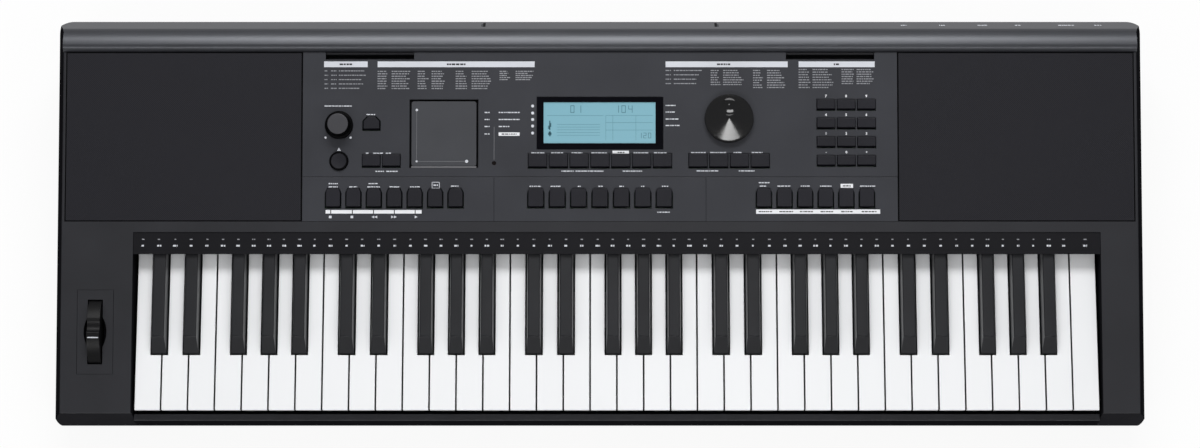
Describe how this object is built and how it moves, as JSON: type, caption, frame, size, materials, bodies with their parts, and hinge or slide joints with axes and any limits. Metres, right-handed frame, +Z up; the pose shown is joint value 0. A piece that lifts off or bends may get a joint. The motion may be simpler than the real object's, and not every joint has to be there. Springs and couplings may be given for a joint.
{
  "type": "arranger keyboard",
  "caption": "Portable electronic keyboard with full-size sprung keys, a sloping panel of buttons, a dial, a touch pad and a display between two speakers, and a pitch wheel.",
  "frame": {"origin": "centre of the bounding box's footprint, on the ground under the rubber feet", "axes": "+X to the player's right, towards the high keys; -Y towards the player; +Z up"},
  "size_m": [0.958, 0.354, 0.1057],
  "materials": {
    "case_plastic": "satin charcoal moulding",
    "panel_plastic": "satin charcoal moulding with printed legends",
    "grille": "fine perforated sheet, painted black",
    "label_strip": "black strip with small printed marks",
    "white_key": "glossy white moulding",
    "black_key": "satin black moulding",
    "button": "soft black moulding",
    "knob": "black skirt and grey cap",
    "dial": "black face with a spun sheen",
    "wheel": "satin black moulding",
    "touch_pad": "satin dark grey film",
    "display_window": "glossy black window over a pale blue display",
    "lamp": "unlit dark lens",
    "speaker_frame": "black pressed steel",
    "speaker_cone": "black paper pulp",
    "circuit_board": "green solder mask",
    "connector": "black moulding",
    "steel": "plain plated steel",
    "chassis": "dark grey moulding",
    "felt": "red felt",
    "contact_rubber": "grey silicone rubber",
    "foot_rubber": "black rubber"
  },
  "bodies": {
    "case": {"bottom_case": "case_plastic", "top_case": "case_plastic", "control_panel": "panel_plastic", "key_slip": "case_plastic", "key_label_strip": "label_strip", "speaker_grille_left": "grille", "speaker_grille_right": "grille", "speaker_baskets": "speaker_frame", "speaker_cones": "speaker_cone", "display_window": "display_window", "display_module": "circuit_board", "touch_pad": "touch_pad", "indicator_lamp": "lamp", "music_rest_sockets": "case_plastic", "keybed_chassis": "chassis", "key_contact_board": "circuit_board", "key_contact_strip": "contact_rubber", "key_stop_felts": "felt", "main_board": "circuit_board", "panel_board": "circuit_board", "volume_pot": "connector", "dial_encoder": "connector", "wheel_bracket": "chassis", "wheel_axle": "steel", "wheel_bezel": "case_plastic", "audio_jacks": "connector", "usb_socket": "steel", "dc_inlet": "connector", "rubber_feet": "foot_rubber"},
    "volume_knob": {"volume_knob": "knob"},
    "data_dial": {"data_dial": "dial"},
    "pitch_wheel": {"pitch_wheel": "wheel"},
    "power_button": {"power_button": "button"},
    "effect_button": {"effect_button": "button"},
    "transpose_down_button": {"transpose_down_button": "button"},
    "transpose_up_button": {"transpose_up_button": "button"},
    "display_row_buttons": {"display_row_buttons": "button"},
    "dial_row_buttons": {"dial_row_buttons": "button"},
    "number_buttons": {"number_buttons": "button"},
    "lower_left_buttons": {"lower_left_buttons": "button"},
    "lower_middle_buttons": {"lower_middle_buttons": "button"},
    "lower_right_buttons": {"lower_right_buttons": "button"},
    "keys_c_e_g_b_1": {"keys_c_e_g_b_1": "white_key"},
    "keys_d_f_a_1": {"keys_d_f_a_1": "white_key"},
    "keys_black_1": {"keys_black_1": "black_key"},
    "keys_c_e_g_b_2": {"keys_c_e_g_b_2": "white_key"},
    "keys_d_f_a_2": {"keys_d_f_a_2": "white_key"},
    "keys_black_2": {"keys_black_2": "black_key"},
    "keys_c_e_g_b_3": {"keys_c_e_g_b_3": "white_key"},
    "keys_d_f_a_3": {"keys_d_f_a_3": "white_key"},
    "keys_black_3": {"keys_black_3": "black_key"},
    "keys_c_e_g_b_4": {"keys_c_e_g_b_4": "white_key"},
    "keys_d_f_a_4": {"keys_d_f_a_4": "white_key"},
    "keys_black_4": {"keys_black_4": "black_key"},
    "keys_c_e_g_b_5": {"keys_c_e_g_b_5": "white_key"},
    "keys_d_f_a_5": {"keys_d_f_a_5": "white_key"},
    "keys_black_5": {"keys_black_5": "black_key"}
  },
  "joints": [
    {"name": "keys_c_e_g_b_1_press", "type": "hinge", "parent": "case", "child": "keys_c_e_g_b_1", "pos_m": [0, 0.02698, 0.0525], "axis": [1, 0, 0], "range_deg": [0, 3], "stiffness_Nm_per_rad": 2.5, "springref_deg": -4.58},
    {"name": "keys_d_f_a_1_press", "type": "hinge", "parent": "case", "child": "keys_d_f_a_1", "pos_m": [0, 0.02698, 0.0525], "axis": [1, 0, 0], "range_deg": [0, 3], "stiffness_Nm_per_rad": 2.5, "springref_deg": -4.58},
    {"name": "keys_black_1_press", "type": "hinge", "parent": "case", "child": "keys_black_1", "pos_m": [0, 0.02698, 0.0525], "axis": [1, 0, 0], "range_deg": [0, 3], "stiffness_Nm_per_rad": 2.5, "springref_deg": -4.58},
    {"name": "keys_c_e_g_b_2_press", "type": "hinge", "parent": "case", "child": "keys_c_e_g_b_2", "pos_m": [0, 0.02698, 0.0525], "axis": [1, 0, 0], "range_deg": [0, 3], "stiffness_Nm_per_rad": 2.5, "springref_deg": -4.58},
    {"name": "keys_d_f_a_2_press", "type": "hinge", "parent": "case", "child": "keys_d_f_a_2", "pos_m": [0, 0.02698, 0.0525], "axis": [1, 0, 0], "range_deg": [0, 3], "stiffness_Nm_per_rad": 2.5, "springref_deg": -4.58},
    {"name": "keys_black_2_press", "type": "hinge", "parent": "case", "child": "keys_black_2", "pos_m": [0, 0.02698, 0.0525], "axis": [1, 0, 0], "range_deg": [0, 3], "stiffness_Nm_per_rad": 2.5, "springref_deg": -4.58},
    {"name": "keys_c_e_g_b_3_press", "type": "hinge", "parent": "case", "child": "keys_c_e_g_b_3", "pos_m": [0, 0.02698, 0.0525], "axis": [1, 0, 0], "range_deg": [0, 3], "stiffness_Nm_per_rad": 2.5, "springref_deg": -4.58},
    {"name": "keys_d_f_a_3_press", "type": "hinge", "parent": "case", "child": "keys_d_f_a_3", "pos_m": [0, 0.02698, 0.0525], "axis": [1, 0, 0], "range_deg": [0, 3], "stiffness_Nm_per_rad": 2.5, "springref_deg": -4.58},
    {"name": "keys_black_3_press", "type": "hinge", "parent": "case", "child": "keys_black_3", "pos_m": [0, 0.02698, 0.0525], "axis": [1, 0, 0], "range_deg": [0, 3], "stiffness_Nm_per_rad": 2.5, "springref_deg": -4.58},
    {"name": "keys_c_e_g_b_4_press", "type": "hinge", "parent": "case", "child": "keys_c_e_g_b_4", "pos_m": [0, 0.02698, 0.0525], "axis": [1, 0, 0], "range_deg": [0, 3], "stiffness_Nm_per_rad": 2.5, "springref_deg": -4.58},
    {"name": "keys_d_f_a_4_press", "type": "hinge", "parent": "case", "child": "keys_d_f_a_4", "pos_m": [0, 0.02698, 0.0525], "axis": [1, 0, 0], "range_deg": [0, 3], "stiffness_Nm_per_rad": 2.5, "springref_deg": -4.58},
    {"name": "keys_black_4_press", "type": "hinge", "parent": "case", "child": "keys_black_4", "pos_m": [0, 0.02698, 0.0525], "axis": [1, 0, 0], "range_deg": [0, 3], "stiffness_Nm_per_rad": 2.5, "springref_deg": -4.58},
    {"name": "keys_c_e_g_b_5_press", "type": "hinge", "parent": "case", "child": "keys_c_e_g_b_5", "pos_m": [0, 0.02698, 0.0525], "axis": [1, 0, 0], "range_deg": [0, 3], "stiffness_Nm_per_rad": 2.5, "springref_deg": -4.58},
    {"name": "keys_d_f_a_5_press", "type": "hinge", "parent": "case", "child": "keys_d_f_a_5", "pos_m": [0, 0.02698, 0.0525], "axis": [1, 0, 0], "range_deg": [0, 3], "stiffness_Nm_per_rad": 2.5, "springref_deg": -4.58},
    {"name": "keys_black_5_press", "type": "hinge", "parent": "case", "child": "keys_black_5", "pos_m": [0, 0.02698, 0.0525], "axis": [1, 0, 0], "range_deg": [0, 3], "stiffness_Nm_per_rad": 2.5, "springref_deg": -4.58},
    {"name": "power_button_press", "type": "slide", "parent": "case", "child": "power_button", "axis": [0, 0.1132, -0.9936], "range_m": [0, 0.002], "stiffness_N_per_m": 400, "springref_m": -0.002},
    {"name": "effect_button_press", "type": "slide", "parent": "case", "child": "effect_button", "axis": [0, 0.1132, -0.9936], "range_m": [0, 0.001], "stiffness_N_per_m": 400, "springref_m": -0.002},
    {"name": "transpose_down_button_press", "type": "slide", "parent": "case", "child": "transpose_down_button", "axis": [0, 0.1132, -0.9936], "range_m": [0, 0.001], "stiffness_N_per_m": 400, "springref_m": -0.002},
    {"name": "transpose_up_button_press", "type": "slide", "parent": "case", "child": "transpose_up_button", "axis": [0, 0.1132, -0.9936], "range_m": [0, 0.001], "stiffness_N_per_m": 400, "springref_m": -0.002},
    {"name": "display_row_buttons_press", "type": "slide", "parent": "case", "child": "display_row_buttons", "axis": [0, 0.1132, -0.9936], "range_m": [0, 0.001], "stiffness_N_per_m": 400, "springref_m": -0.002},
    {"name": "dial_row_buttons_press", "type": "slide", "parent": "case", "child": "dial_row_buttons", "axis": [0, 0.1132, -0.9936], "range_m": [0, 0.001], "stiffness_N_per_m": 400, "springref_m": -0.002},
    {"name": "number_buttons_press", "type": "slide", "parent": "case", "child": "number_buttons", "axis": [0, 0.1132, -0.9936], "range_m": [0, 0.001], "stiffness_N_per_m": 400, "springref_m": -0.002},
    {"name": "lower_left_buttons_press", "type": "slide", "parent": "case", "child": "lower_left_buttons", "axis": [0, 0.1132, -0.9936], "range_m": [0, 0.001], "stiffness_N_per_m": 400, "springref_m": -0.002},
    {"name": "lower_middle_buttons_press", "type": "slide", "parent": "case", "child": "lower_middle_buttons", "axis": [0, 0.1132, -0.9936], "range_m": [0, 0.001], "stiffness_N_per_m": 400, "springref_m": -0.002},
    {"name": "lower_right_buttons_press", "type": "slide", "parent": "case", "child": "lower_right_buttons", "axis": [0, 0.1132, -0.9936], "range_m": [0, 0.001], "stiffness_N_per_m": 400, "springref_m": -0.002},
    {"name": "volume_turn", "type": "hinge", "parent": "case", "child": "volume_knob", "pos_m": [-0.2297, 0.08184, 0.09078], "axis": [0, -0.1132, 0.9936], "range_deg": [-150, 150]},
    {"name": "dial_turn", "type": "hinge", "parent": "case", "child": "data_dial", "pos_m": [0.11355, 0.0873, 0.0914], "axis": [0, -0.1132, 0.9936], "continuous": true},
    {"name": "wheel_bend", "type": "hinge", "parent": "case", "child": "pitch_wheel", "pos_m": [-0.4425, -0.09622, 0.04583], "axis": [1, 0, 0], "range_deg": [-30, 30], "stiffness_Nm_per_rad": 0.15}
  ]
}
